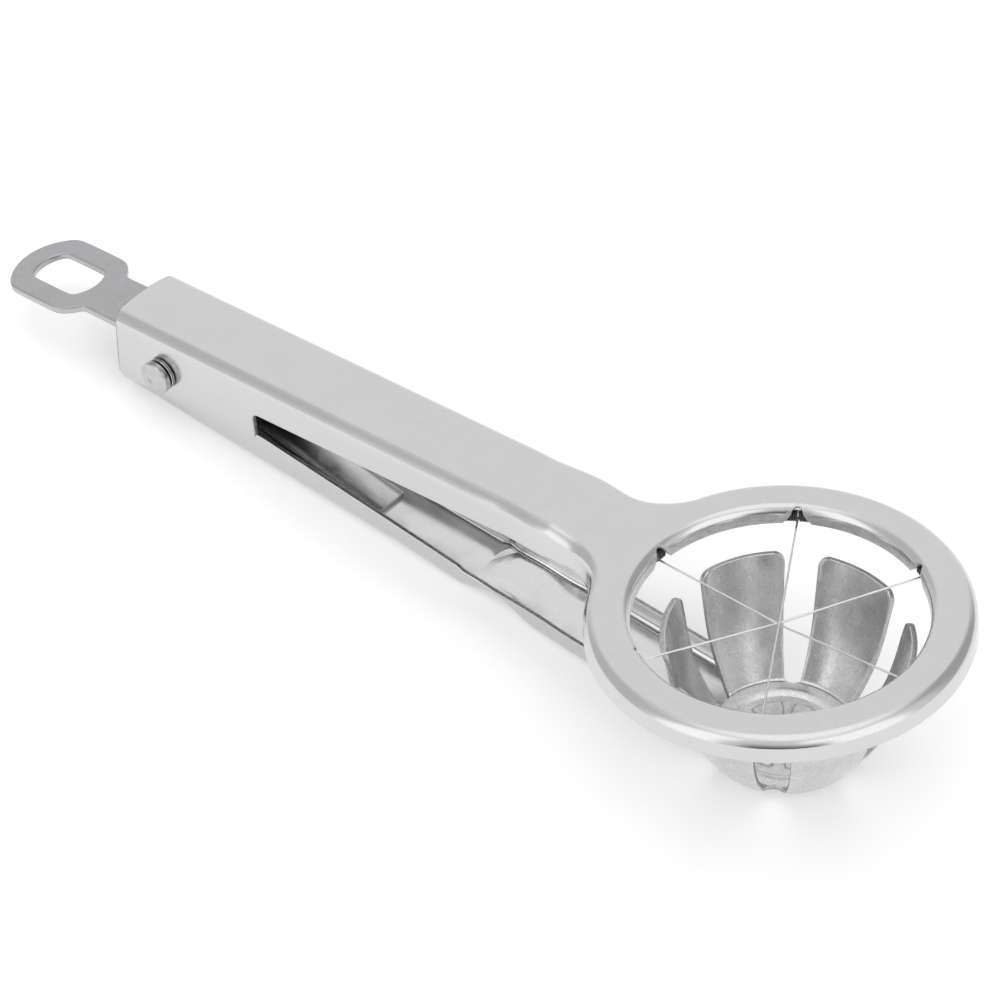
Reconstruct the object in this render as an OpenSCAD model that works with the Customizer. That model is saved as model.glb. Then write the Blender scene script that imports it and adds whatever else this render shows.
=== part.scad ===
// Handheld egg wedger: a hinged ring frame strung with wires closes over a slotted six-petal cup.
// Millimetres, +Z up. The lower arm's flat bottom lies on z = 0 and the cup end points along +X.

/* [Arms] */
// Angle of the upper arm above the lower arm as it stands open, degrees
rest_angle = 5.6; // [4:0.1:7]
// Sheet thickness of both arms
sheet = 0.9; // [0.7:0.05:1.1]
// Half width of the upper arm's handle, outside
handle_half = 8.65; // [8.5:0.05:9.5]
// Outer bend radius along the upper arm's edges
handle_bend = 2.6; // [2:0.1:3]
// Height of the upper arm's top face above the pin
handle_rise = 9.5; // [9.2:0.1:10.5]
// Distance from the pin back to the upper arm's rear end
handle_tail = 12.4; // [11:0.1:13]
// Depth of the upper arm's walls beside the pin
deep_wall = 14.55; // [13.5:0.05:15]
// Distance from the pin to the step in the upper arm's walls
wall_step = 25.2; // [22:0.1:28]
// Depth of the upper arm's walls in front of the step
shallow_wall = 8.1; // [7.7:0.1:9]
// Half width of the lower arm behind the joggle, outside
lower_half = 7.4; // [7:0.05:7.45]
// Outer bend radius along the lower arm's edges
lower_bend = 2.6; // [2:0.1:3]
// Height of the pin above the lower arm's bottom face
pin_height = 10.6; // [10.4:0.1:11.5]

/* [Ring frame] */
// Outer radius of the ring frame
ring_r = 34; // [33:0.5:36]
// Radius of the ring frame's opening
opening_r = 25.8; // [25:0.1:26.5]
// Outer bend radius of the ring frame's two edges
ring_bend = 2; // [1.5:0.1:2.2]
// Depth of the ring frame's outer wall
ring_depth = 4.6; // [4.2:0.1:5]
// Depth of the ring frame's inner wall
inner_depth = 3.6; // [3.3:0.1:4]
// Distance from the pin to the ring's centre along the handle
ring_reach = 143.8; // [140:0.2:150]
// Drop of the ring's top face below the handle's top face
ring_drop = 1.1; // [0.6:0.1:1.4]
// Half width of the neck between handle and ring
neck_half = 9.7; // [9.2:0.1:10.5]
// Radius of the hollow curve from the neck into the ring
neck_fillet = 11.5; // [10:0.5:13]

/* [Cup] */
// Distance from the pin forward to the middle of the cup's base
cup_reach = 145.5; // [145:0.1:146]
// Tilt of the cup, front edge up, degrees
cup_tilt = 2; // [1:0.1:2.5]
// Height of the petals above the base
cup_height = 25.1; // [22:0.1:25.5]
// Sheet thickness of the cup
cup_sheet = 1.05; // [0.8:0.05:1.2]
// Outer radius of the six pads on the base
pad_r = 9; // [8:0.1:9.5]
// Width of the grooves between the pads
groove = 1.2; // [1:0.1:1.6]
// Rounding of the petals' top corners
petal_corner = 2; // [1:0.1:2.5]

/* [Wires] */
// Diameter of the cutting wires
wire_d = 0.4; // [0.3:0.02:0.5]
// Depth of the wires' ends below the ring's top face
wire_depth = 3.2; // [3:0.05:3.3]
// How far the wires dip at their crossing
wire_dip = 1.4; // [1:0.1:1.6]
// Diameter of the hoop that holds the wires' ends
hoop_d = 1; // [0.8:0.05:1.1]

/* [Hinge] */
// Diameter of the hinge pin
pin_d = 3.8; // [3.4:0.1:4]
// Diameter of the pin's heads and of the washer
head_d = 7; // [6.5:0.1:7.5]
// Thickness of a pin head
head_t = 1.15; // [0.9:0.05:1.3]
// Thickness of the washer
washer_t = 0.3; // [0.2:0.05:0.4]
// Radial clearance of the pin in its holes
pin_clearance = 0.08; // [0.05:0.01:0.1]

/* [Lock tab and spring] */
// Thickness of the lock tab
tab_t = 1.6; // [1.4:0.05:1.7]
// Height of the lock tab's underside above the pin's axis
tab_rise = 3.3; // [3.25:0.05:3.5]
// Radius of the lock tab's eye
eye_r = 11.9; // [11:0.1:12.5]
// Half width of the eye between its flats
eye_half = 9.8; // [9:0.1:10.2]
// Radius of the hole in the eye
hole_r = 7.35; // [7:0.1:8]
// Half width of the hole between its flats
hole_half = 4.75; // [4.5:0.1:5.5]
// Half width of the tab's shank
shank_half = 6.05; // [5.9:0.05:6.1]
// Distance from the pin back to the middle of the eye, pulled out
eye_reach = 34.2; // [33:0.1:36]
// Thickness of the leaf spring
spring_t = 0.9; // [0.6:0.05:0.95]
// Width of the leaf spring
spring_w = 7.6; // [7:0.1:8]
// Distance from the pin forward to the spring's lower end
spring_reach = 52; // [48:0.5:56]

/* [Hidden] */
$fn = 96;
petals = 6;
wire_step = 180 / 3;
step_round = 1.5;
tail_round = 4;
slide_gap = 0.12;
lower_tail = 12;
tail_bulge_r = 34;
neck_start = 86;
slope_start = 97.5;
slope_end = 106;
ring_top = handle_rise - ring_drop;
front_x = (ring_reach + ring_r) * cos(rest_angle) - (ring_top - ring_depth) * sin(rest_angle);
back_x = (eye_reach + eye_r) * cos(rest_angle) + (tab_rise + tab_t) * sin(rest_angle);
pin_x = (back_x - front_x) / 2;
bore_r = pin_d / 2 + pin_clearance;
hoop_r = opening_r + sheet + 1.2;
fillet_angle = 90 - asin((neck_half + neck_fillet) / (ring_r + neck_fillet));
fillet_x = ring_reach - (ring_r + neck_fillet) * sin(fillet_angle);

// flats along each bend
bend_steps = 7;

// points of an arc round c, from angle a to angle b, in n steps
function arc(c, r, a, b, n) = [for (i = [0:n]) c + r * [cos(a + (b - a) * i / n), sin(a + (b - a) * i / n)]];

// side view drawn through the whole width
module side_cut(points, width) {
    rotate([90, 0, 0])
        linear_extrude(height = width, center = true)
            polygon(points);
}

// one wall of a loft rib: x, y of the outer face, direction inwards, top, lower edge, bend radius, and how far
// both faces lie inside the sheet's
function rib_side(r, outer) =
    let (
        off = outer ? r[7] : sheet - r[7],
        bend = r[6],
        inner = bend - off,
        place = function(d, z) [r[0] + d * r[2], r[1] + d * r[3], z]
    )
    concat(
        [place(off, r[5])],
        [for (i = [0:bend_steps]) let (a = 90 * i / bend_steps)
            place(bend - inner * cos(a), r[4] - bend + inner * sin(a))]
    );

function flip(points) = [for (p = points) [p[0], -p[1], p[2]]];
function turned(points) = [for (i = [len(points) - 1:-1:0]) points[i]];
function rib_loop(r) = concat(
    rib_side(r, true), turned(flip(rib_side(r, true))),
    flip(rib_side(r, false)), turned(rib_side(r, false))
);

// folded sheet that follows a row of ribs
module loft(ribs) {
    loops = [for (r = ribs) rib_loop(r)];
    n = len(loops[0]);
    q = n / 2;
    last = len(ribs) - 1;
    skin = [for (i = [0:last - 1]) for (k = [0:n - 1]) let (m = (k + 1) % n)
        each [[i * n + k, (i + 1) * n + m, i * n + m], [i * n + k, (i + 1) * n + k, (i + 1) * n + m]]];
    caps = [for (k = [0:q - 2]) for (end = [0, last])
        let (a = end * n + k, b = a + 1, c = end * n + n - 2 - k, d = c + 1)
        each end == 0 ? [[a, b, d], [b, c, d]] : [[a, d, b], [b, d, c]]];
    polyhedron(points = [for (l = loops) each l], faces = concat(skin, caps));
}

// frame of the upper arm: origin on the pin's axis, +X along the handle, at the angle it stands open
module on_upper() {
    translate([pin_x, 0, pin_height])
        rotate([0, -rest_angle, 0])
            children();
}

module on_lower() {
    translate([pin_x, 0, 0])
        children();
}

module on_cup() {
    translate([pin_x + cup_reach, 0, tongue_top(cup_reach)])
        rotate([0, -cup_tilt, 0])
            children();
}

/* parts of the upper arm */
// distance forward from the pin and drop of the wall's lower edge below the top face
edge_drop = [[neck_start, 7.1], [91.9, 6.5], [99.2, 6.1], [slope_end, ring_drop + ring_depth]];
upper_low = handle_rise - deep_wall - 1;
fillet_steps = 12;
// the neck's end runs on a little inside the ring, its faces just below the ring's
lap_angle = fillet_angle - 0.3;
seam = 0.02;

// even steps from a up to, but not onto, b
function spaced(a, b, n) = [for (i = [0:n - 1]) a + (b - a) * i / n];

// 0 to 1 with a soft start and end as x runs from a to b
function ease(x, a, b) = (1 - cos(180 * max(0, min(1, (x - a) / (b - a))))) / 2;
function upper_rib(x, y, a, inset) = [
    x - ring_reach, y, sin(a), -cos(a),
    handle_rise - ring_drop * ease(x, slope_start, slope_end), upper_low,
    handle_bend + (ring_bend - handle_bend) * ease(x, neck_start, slope_end), inset
];
upper_ribs = concat(
    [upper_rib(-handle_tail, handle_half, 0, 0)],
    [for (x = spaced(neck_start, fillet_x, 10))
        upper_rib(x, handle_half + (neck_half - handle_half) * ease(x, neck_start, slope_start), 0, 0)],
    [for (i = [0:fillet_steps]) let (a = fillet_angle * i / fillet_steps)
        upper_rib(
            fillet_x + neck_fillet * sin(a), neck_half + neck_fillet * (1 - cos(a)), a,
            i < fillet_steps ? 0 : seam
        )],
    [upper_rib(ring_reach - ring_r * sin(lap_angle), ring_r * cos(lap_angle), lap_angle, seam)]
);
upper_side = concat(
    [[-handle_tail - 1, handle_rise + 1]],
    arc([tail_round - handle_tail, handle_rise - deep_wall + tail_round], tail_round, 180, 270, 8),
    arc([wall_step - step_round, handle_rise - deep_wall + step_round], step_round, 270, 360, 5),
    turned(arc([wall_step + step_round, handle_rise - shallow_wall - step_round], step_round, 90, 180, 5)),
    [for (e = edge_drop) [e[0], handle_rise - e[1]]],
    [[ring_reach, ring_top - ring_depth], [ring_reach, handle_rise + 1]]
);

module handle_and_neck() {
    intersection() {
        translate([ring_reach, 0, 0])
            loft(upper_ribs);
        side_cut(upper_side, 3 * ring_r);
        translate([tail_bulge_r - handle_tail, 0, upper_low - 1]) {
            cylinder(r = tail_bulge_r, h = 2 * deep_wall);
            translate([0, -ring_r, 0])
                cube([ring_reach, 2 * ring_r, 2 * deep_wall]);
        }
    }
}

// bell-shaped notch in the ring's inner wall that a wire passes through
notch_half = 2.2;
notch_waist = 1.2;
notch_top_r = 0.9;
notch_rise = 1.8;

module bell_notch() {
    low = -inner_depth - 1;
    flare = -inner_depth + 0.3;
    shoulder = (flare - notch_rise) / 2;
    translate([opening_r + sheet / 2, 0, 0])
        rotate([90, 0, 90])
            linear_extrude(height = 2 * sheet, center = true)
                polygon(concat(
                    [[-notch_half, low], [notch_half, low], [notch_half - 0.2, flare], [notch_waist, shoulder]],
                    arc([0, -notch_rise], notch_top_r, 0, 180, 6),
                    [[-notch_waist, shoulder], [0.2 - notch_half, flare]]
                ));
}

// the ring's section has the same bends as the neck's ribs, so that the two meet
function ring_side(r, inwards, depth, outer) =
    [for (p = rib_side([r, 0, inwards, 0, 0, -depth, ring_bend, 0], outer)) [p[0], p[2]]];

module ring_section() {
    polygon(concat(
        ring_side(ring_r, -1, ring_depth, true),
        turned(ring_side(opening_r, 1, inner_depth, true)),
        ring_side(opening_r, 1, inner_depth, false),
        turned(ring_side(ring_r, -1, ring_depth, false))
    ));
}

// plan of what the neck replaces in the ring
module neck_gate() {
    inner = ring_r - ring_bend;
    far = ring_r + ring_bend;
    rear = -far - neck_fillet;
    translate([0, 0, -ring_depth - 1])
        linear_extrude(height = ring_depth + 2)
            polygon([
                [-inner * sin(fillet_angle), -inner * cos(fillet_angle)],
                [-inner * sin(fillet_angle), inner * cos(fillet_angle)],
                [-far * sin(fillet_angle), far * cos(fillet_angle)],
                [rear, far * cos(fillet_angle)],
                [rear, -far * cos(fillet_angle)],
                [-far * sin(fillet_angle), -far * cos(fillet_angle)]
            ]);
}

module ring_frame() {
    translate([ring_reach, 0, ring_top])
        difference() {
            rotate_extrude()
                ring_section();
            neck_gate();
            for (i = [0:petals - 1])
                rotate([0, 0, i * wire_step])
                    bell_notch();
        }
}

module pin_bores(width) {
    rotate([90, 0, 0])
        cylinder(r = bore_r, h = width, center = true);
}

module upper_arm() {
    color([0.8, 0.8, 0.8])
        on_upper()
            difference() {
                union() {
                    handle_and_neck();
                    ring_frame();
                }
                pin_bores(3 * handle_half);
            }
}

/* parts of the lower arm */
// along the joggle: distance forward from the pin, change of half width, wall height, lift of the floor
joggle = [
    [74.8, 0, 5.05, 0], [76.5, 0, 4.5, 0.1], [78.5, -0.3, 4.1, 0.6], [80.5, -0.5, 3.8, 0.9],
    [83, -0.5, 3.6, 0.95], [86, -0.42, 3.8, 0.95], [88.5, -0.25, 4.1, 0.6], [91, 0.05, 4.5, 0.15],
    [93, 0.25, 4.7, 0], [96, 0.4, 4.8, 0], [99.5, 0.62, 4.8, 0], [104, 0.77, 4.8, 0]
];
front_half = lower_half + joggle[len(joggle) - 1][1];
front_wall = joggle[len(joggle) - 1][2];
wall_end = 126.3;
wall_curl = 5;
crank = 134;
tongue_end = 157.5;
tongue_half = 5.6;
boss_r = 6;
lower_low = -pin_height - boss_r - 1;

// the lower arm is the same folded sheet turned upside down
function lower_rib(x, half, lift) = [x, half, 0, -1, -lift, lower_low, lower_bend, 0];
lower_ribs = concat(
    [lower_rib(-lower_tail, lower_half, 0)],
    [for (j = joggle) lower_rib(j[0], lower_half + j[1], j[3])],
    [lower_rib(crank, front_half, 0)]
);
// wall heights behind the joggle, read off from the pin forward
lower_side = concat(
    [[-lower_tail - 1, -1], [-lower_tail - 1, pin_height - 3]],
    arc([0, pin_height], boss_r, 150, 60, 8),
    [[24.3, 8], [35.6, 7.36], [55.3, 6.27]],
    [for (j = joggle) [j[0], j[2]]],
    arc([wall_end + wall_curl, front_wall], wall_curl, 180, 250, 7),
    [[crank + 1, sheet / 2], [crank + 1, -1]]
);
function tongue_top(x) = sheet + (x - crank) * tan(cup_tilt);

module tongue() {
    rise = tongue_top(tongue_end);
    intersection() {
        side_cut([
            [crank - 2, 0], [crank, 0], [tongue_end, rise - sheet], [tongue_end, rise], [crank, sheet], [crank - 2, sheet]
        ], 3 * tongue_half);
        linear_extrude(height = 3 * rise, center = true) {
            translate([crank - 3, -tongue_half])
                square([tongue_end - tongue_half - crank + 3, 2 * tongue_half]);
            translate([tongue_end - tongue_half, 0])
                circle(r = tongue_half);
        }
    }
}

module lower_arm() {
    color([0.78, 0.78, 0.78])
        on_lower()
            difference() {
                union() {
                    intersection() {
                        mirror([0, 0, 1])
                            loft(lower_ribs);
                        side_cut(lower_side, 3 * lower_half);
                    }
                    tongue();
                }
                translate([0, 0, pin_height])
                    pin_bores(3 * lower_half);
            }
}

/* the cup */
// radius and height of the cup's outer face, from the edge of its sunken base up to the petals' tips
cup_line = [
    [10.6, 0], [11.5, 0.45], [13.1, 0.45], [14, 0.85], [14.7, 1.7], [15.6, 3.1], [16.7, 4.9], [17.6, 6.6], [18.5, 8.6],
    [19.3, 10.8], [20, 13.4], [20.7, 16.7], [21.3, 20.2], [21.8, 23], [22.2, cup_height]
];
cup_last = len(cup_line) - 1;
// the inner face lies one sheet inside the outer one
function inward(i) =
    let (run = cup_line[min(cup_last, i + 1)] - cup_line[max(0, i - 1)])
    cup_sheet * [-run[1], run[0]] / norm(run);
cup_lining = [for (i = [0:cup_last])
    i == 0 ? [cup_line[0][0] - cup_sheet / 2, cup_sheet]
    : i == cup_last ? [cup_line[i][0] - cup_sheet, cup_height]
    : cup_line[i] + inward(i)];
// radius and half width of a slot between two petals, seen from above
slot_line = [[13, 0.6], [13.4, 1.1], [14.2, 1.35], [17, 1.95], [19.4, 2.5], [22.5, 3.15], [23.5, 3.2]];
slot_half = 3.05;

module slot() {
    top = cup_height;
    translate([slot_line[0][0], 0, 0])
        linear_extrude(height = 2 * top)
            polygon(concat(
                [for (p = slot_line) [p[0] - slot_line[0][0], -p[1]]],
                turned([for (p = slot_line) [p[0] - slot_line[0][0], p[1]]])
            ));
    // rounded tops of the two petals beside the slot
    corner = arc([slot_half + petal_corner, top - petal_corner + 0.06], petal_corner, 180, 90, 8);
    rotate([90, 0, 90])
        linear_extrude(height = 2 * top)
            polygon(concat(
                [[0, top - petal_corner]],
                corner,
                [[slot_half + petal_corner, top + 1], [-slot_half - petal_corner, top + 1]],
                turned([for (p = corner) [-p[0], p[1]]])
            ));
}

module petal_cup() {
    color([0.7, 0.7, 0.72])
        on_cup() {
            difference() {
                rotate_extrude()
                    polygon(concat([[0, 0]], cup_line, turned(cup_lining), [[0, cup_sheet]]));
                for (i = [0:petals - 1])
                    rotate([0, 0, i * wire_step])
                        slot();
            }
            difference() {
                translate([0, 0, cup_sheet / 2])
                    cylinder(r = pad_r, h = cup_sheet / 2 + 0.5);
                for (i = [0:2])
                    rotate([0, 0, i * wire_step])
                        translate([-2 * pad_r, -groove / 2, cup_sheet])
                            cube([4 * pad_r, groove, 2]);
            }
        }
}

/* wires */
// the bend at the crossing is a touch thicker than the wire
wire_bead = 1.15 * wire_d;

module wire(turn, level) {
    low = -wire_depth - wire_dip + level;
    eye_major = hoop_d / 2 + wire_d / 2 + 0.05;
    reach = hoop_r - eye_major;
    fall = atan2(-wire_depth - low, reach);
    on_upper()
        translate([ring_reach, 0, ring_top])
            rotate([0, 0, turn]) {
                translate([0, 0, low])
                    rotate([0, 90, 0])
                        sphere(d = wire_bead, $fn = 24);
                for (side = [0, 180])
                    rotate([0, 0, side]) {
                        translate([0, 0, low])
                            rotate([0, 90 - fall, 0])
                                cylinder(d = wire_d, h = reach / cos(fall), $fn = 24);
                        translate([hoop_r, 0, -wire_depth])
                            rotate([90, 0, 0])
                                rotate_extrude($fn = 48)
                                    translate([eye_major, 0])
                                        circle(d = wire_d, $fn = 24);
                    }
            }
}

module wire_1() {
    color([0.6, 0.6, 0.6])
        wire(0, 0);
}

module wire_2() {
    color([0.6, 0.6, 0.6])
        wire(wire_step, wire_bead + 0.02);
}

module wire_3() {
    color([0.6, 0.6, 0.6])
        wire(2 * wire_step, 2 * wire_bead + 0.04);
}

module wire_hoop() {
    color([0.55, 0.55, 0.55])
        on_upper()
            translate([ring_reach, 0, ring_top - wire_depth])
                rotate_extrude()
                    translate([hoop_r, 0])
                        circle(d = hoop_d, $fn = 32);
}

/* hinge */
module hinge_pin() {
    near = handle_half + washer_t + slide_gap;
    far = handle_half + slide_gap;
    color([0.75, 0.75, 0.75])
        on_upper() {
            rotate([90, 0, 0])
                translate([0, 0, -far - head_t / 2])
                    cylinder(d = pin_d, h = near + far + head_t);
            rotate([90, 0, 0])
                translate([0, 0, near])
                    difference() {
                        cylinder(d = head_d, h = head_t);
                        translate([0, 0, head_t - 0.3])
                            cylinder(d = 0.9, h = 1);
                    }
            rotate([-90, 0, 0])
                translate([0, 0, far])
                    cylinder(d = head_d, h = head_t);
        }
}

module pin_washer() {
    color([0.6, 0.6, 0.6])
        on_upper()
            rotate([90, 0, 0])
                translate([0, 0, handle_half + slide_gap / 4])
                    difference() {
                        cylinder(d = head_d, h = washer_t);
                        translate([0, 0, -1])
                            cylinder(r = bore_r, h = washer_t + 2);
                    }
}

/* lock tab: a shank that forks round the spring, with two lugs turned down in front of the pin */
fork_back = -5.5;
prong = 1.2;
lug_back = pin_d / 2 + slide_gap;
lug_front = lug_back + 4.5;

module flatted(r, half) {
    intersection() {
        circle(r = r);
        square([4 * r, 2 * half], center = true);
    }
}

module tab_plan() {
    difference() {
        union() {
            translate([-eye_reach, 0])
                flatted(eye_r, eye_half);
            translate([-eye_reach, -shank_half])
                square([eye_reach + fork_back, 2 * shank_half]);
            for (side = [-1, 1])
                translate([fork_back - 1, side * (shank_half - prong / 2) - prong / 2])
                    square([lug_front - fork_back + 1, prong]);
        }
        translate([-eye_reach, 0])
            flatted(hole_r, hole_half);
    }
}

module lock_tab() {
    color([0.66, 0.66, 0.66])
        on_upper() {
            translate([0, 0, tab_rise])
                linear_extrude(height = tab_t)
                    tab_plan();
            for (side = [-1, 1])
                translate([lug_back, side * (shank_half - prong / 2) - prong / 2, -3])
                    cube([lug_front - lug_back, prong, tab_rise + 3 + tab_t / 2]);
        }
}

/* leaf spring: a strip bent round the pin, one leg on the lower arm's floor, the other under the upper arm */
coil_in = bore_r + 0.02;
coil_out = coil_in + spring_t;
upper_leg = 42;

// side view in the lower arm's directions, origin on the pin's axis
function spring_side() =
    let (
        low_end = [spring_reach, sheet - pin_height + 0.02],
        low_angle = atan2(low_end[1], low_end[0]) + asin(coil_out / norm(low_end)),
        top_end = [upper_leg * cos(rest_angle) - (handle_rise - sheet - 0.05) * sin(rest_angle),
            upper_leg * sin(rest_angle) + (handle_rise - sheet - 0.05) * cos(rest_angle)],
        top_angle = atan2(top_end[1], top_end[0]) - asin(coil_out / norm(top_end)),
        step_in = spring_t * [sin(low_angle), -cos(low_angle)],
        step_up = spring_t * [sin(top_angle), -cos(top_angle)]
    )
    concat(
        [low_end],
        turned(arc([0, 0], coil_out, top_angle + 90, low_angle + 270, 24)),
        [top_end, top_end + step_up],
        arc([0, 0], coil_in, top_angle + 90, low_angle + 270, 24),
        [low_end - step_in]
    );

module leaf_spring() {
    color([0.5, 0.5, 0.52])
        translate([pin_x, 0, pin_height])
            side_cut(spring_side(), spring_w);
}

upper_arm();
lower_arm();
petal_cup();
wire_1();
wire_2();
wire_3();
wire_hoop();
hinge_pin();
pin_washer();
lock_tab();
leaf_spring();
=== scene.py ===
import bpy
import bmesh
import math
from mathutils import Matrix, Vector


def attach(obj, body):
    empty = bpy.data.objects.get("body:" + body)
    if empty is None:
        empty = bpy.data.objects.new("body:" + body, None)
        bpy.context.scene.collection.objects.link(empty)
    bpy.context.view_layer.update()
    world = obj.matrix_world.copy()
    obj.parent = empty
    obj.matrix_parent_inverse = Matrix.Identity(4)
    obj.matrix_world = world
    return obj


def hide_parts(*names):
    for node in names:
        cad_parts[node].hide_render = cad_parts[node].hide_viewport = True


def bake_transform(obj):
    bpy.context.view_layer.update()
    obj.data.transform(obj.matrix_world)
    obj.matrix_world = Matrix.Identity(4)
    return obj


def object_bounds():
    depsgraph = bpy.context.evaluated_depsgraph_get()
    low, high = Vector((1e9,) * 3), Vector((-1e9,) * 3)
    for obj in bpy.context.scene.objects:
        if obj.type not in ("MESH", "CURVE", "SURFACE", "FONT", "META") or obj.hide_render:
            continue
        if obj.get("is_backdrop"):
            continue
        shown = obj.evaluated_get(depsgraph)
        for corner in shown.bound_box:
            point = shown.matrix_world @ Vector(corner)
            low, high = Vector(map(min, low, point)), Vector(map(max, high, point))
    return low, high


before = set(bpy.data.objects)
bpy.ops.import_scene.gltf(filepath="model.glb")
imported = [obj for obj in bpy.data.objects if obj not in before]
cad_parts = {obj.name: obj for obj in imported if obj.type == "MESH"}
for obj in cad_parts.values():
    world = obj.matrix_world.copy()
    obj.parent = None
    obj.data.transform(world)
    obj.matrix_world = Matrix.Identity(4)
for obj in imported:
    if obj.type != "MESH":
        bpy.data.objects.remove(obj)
cad_low, cad_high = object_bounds()

# ------------------------------------------------------------------ directions and shared sizes (mm)
MM = 0.001
# middle of the pin, whose axis runs along Y, and the angle between the arms at rest
PIN = (-65.1112, 0.0, 10.6)
OPEN = math.radians(5.6)
SHEET = 0.9
# upper arm, from the pin: half width and bends of the handle, its top, its reach behind the pin
HALF, BEND, TOP, TAIL = 8.65, 2.6, 9.5, 12.4
# the ring's middle and top, its outer radius, its opening and inner bend
RING_X, RING_Z, RING_R, HOLE_R, RING_BEND = 143.8, 8.4, 34.0, 25.8, 2.0
# half width of the neck, and the fillet that runs from it into the ring: radius, angle, start
NECK, FILLET = 9.7, 11.5
FILLET_A = math.pi / 2 - math.asin((NECK + FILLET) / (RING_R + FILLET))
FILLET_X = RING_X - (RING_R + FILLET) * math.sin(FILLET_A)
# the pin's hole in both arms, and how far its cutter reaches to both sides
BORE_R, BORE_REACH = 1.98, 11


def on_upper(p):
    """a point given from the pin along the upper arm, in metres"""
    x, y, z = p
    c, s = math.cos(OPEN), math.sin(OPEN)
    return ((PIN[0] + x * c - z * s) * MM, y * MM, (PIN[2] + x * s + z * c) * MM)


def on_lower(p):
    """a point given from the pin along the lower arm and up from its flat bottom, in metres"""
    return ((PIN[0] + p[0]) * MM, p[1] * MM, p[2] * MM)


def lerp(a, b, t):
    return a + (b - a) * t


def table(rows, x):
    """straight-line reading of rows [x, value]"""
    if x <= rows[0][0]:
        return rows[0][1]
    for (a, va), (b, vb) in zip(rows, rows[1:]):
        if x <= b:
            return lerp(va, vb, (x - a) / (b - a))
    return rows[-1][1]


def ease(x, a, b):
    """0 before a, 1 past b, soft between"""
    t = min(1.0, max(0.0, (x - a) / (b - a)))
    return t * t * (3 - 2 * t)


def spread(a, b, n):
    """n equal steps from a to b, both ends included"""
    return [lerp(a, b, i / n) for i in range(n + 1)]


def stations(start, parts):
    """places from start on, where each part is (its end, its number of steps)"""
    xs = [start]
    for end, n in parts:
        xs += spread(start, end, n)[1:]
        start = end
    return xs


def smooth_line(points, n):
    """Catmull-Rom through points, n steps each"""
    out = []
    last = len(points) - 1
    for i in range(last):
        p = [points[min(last, max(0, i + k - 1))] for k in range(4)]
        for s in range(n):
            t = s / n
            out.append(tuple(
                0.5 * (2 * b + (c - a) * t + (2 * a - 5 * b + 4 * c - d) * t * t + (3 * b - a - 3 * c + d) * t ** 3)
                for a, b, c, d in zip(*p)))
    out.append(tuple(points[-1]))
    return out


# ------------------------------------------------------------------ mesh helpers
class Skin:
    """collects grids of points and joins them where they meet"""

    def __init__(self):
        self.points, self.faces, self.slots = [], [], []

    def grid(self, rows, closed=False, slot=0):
        """faces between rows of equal length; closed joins the last row to the first"""
        start, n = len(self.points), len(rows[0])
        for r in rows:
            self.points += r
        last = len(rows) if closed else len(rows) - 1
        for i in range(last):
            a, b = start + i * n, start + ((i + 1) % len(rows)) * n
            for k in range(n - 1):
                self.faces.append((a + k, a + k + 1, b + k + 1, b + k))
                self.slots.append(slot)

    def mesh(self, name, place, outside):
        """the welded mesh, with its faces turned so that the one nearest outside[0] faces along outside[1]"""
        bm = bmesh.new()
        verts = [bm.verts.new(place(p)) for p in self.points]
        for f, slot in zip(self.faces, self.slots):
            bm.faces.new([verts[i] for i in f]).material_index = slot
        bmesh.ops.remove_doubles(bm, verts=bm.verts, dist=2e-6)
        bmesh.ops.dissolve_degenerate(bm, edges=bm.edges, dist=1e-6)
        bmesh.ops.recalc_face_normals(bm, faces=bm.faces)
        where, facing = Vector(outside[0]), Vector(outside[1])
        near = min(bm.faces, key=lambda f: (f.calc_center_median() - where).length)
        if near.normal.dot(facing) < 0:
            bmesh.ops.reverse_faces(bm, faces=bm.faces)
        me = bpy.data.meshes.new(name)
        bm.to_mesh(me)
        bm.free()
        return me


def new_object(name, me):
    ob = bpy.data.objects.new(name, me)
    bpy.context.scene.collection.objects.link(ob)
    return ob


def coat(ob, *materials):
    for m in materials:
        ob.data.materials.append(m)


def smooth(ob):
    for p in ob.data.polygons:
        p.use_smooth = True


def settle(ob):
    """applies the modifiers so far"""
    bpy.context.view_layer.update()
    ev = ob.evaluated_get(bpy.context.evaluated_depsgraph_get())
    me = bpy.data.meshes.new_from_object(ev, depsgraph=bpy.context.evaluated_depsgraph_get())
    ob.modifiers.clear()
    old = ob.data
    ob.data = me
    bpy.data.meshes.remove(old)


def thicken(ob, t, rim=1, back=0):
    """gives the sheet its thickness t in mm; rim and back shift the material slots of its edges and its back"""
    m = ob.modifiers.new("sheet", "SOLIDIFY")
    m.thickness = t * MM
    m.material_offset = back
    m.offset = -1
    m.use_even_offset = True
    m.use_quality_normals = True
    m.material_offset_rim = rim


def soften(ob, width=0.14, angle=50, steps=2):
    """rounds the edges sharper than angle by width in mm"""
    b = ob.modifiers.new("edges", "BEVEL")
    b.width = width * MM
    b.segments = steps
    b.limit_method = "ANGLE"
    b.angle_limit = math.radians(angle)
    b.use_clamp_overlap = False
    b.miter_outer = "MITER_ARC"
    b.material = 0
    w = ob.modifiers.new("normals", "WEIGHTED_NORMAL")
    w.keep_sharp = False
    w.weight = 60
    smooth(ob)


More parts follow.
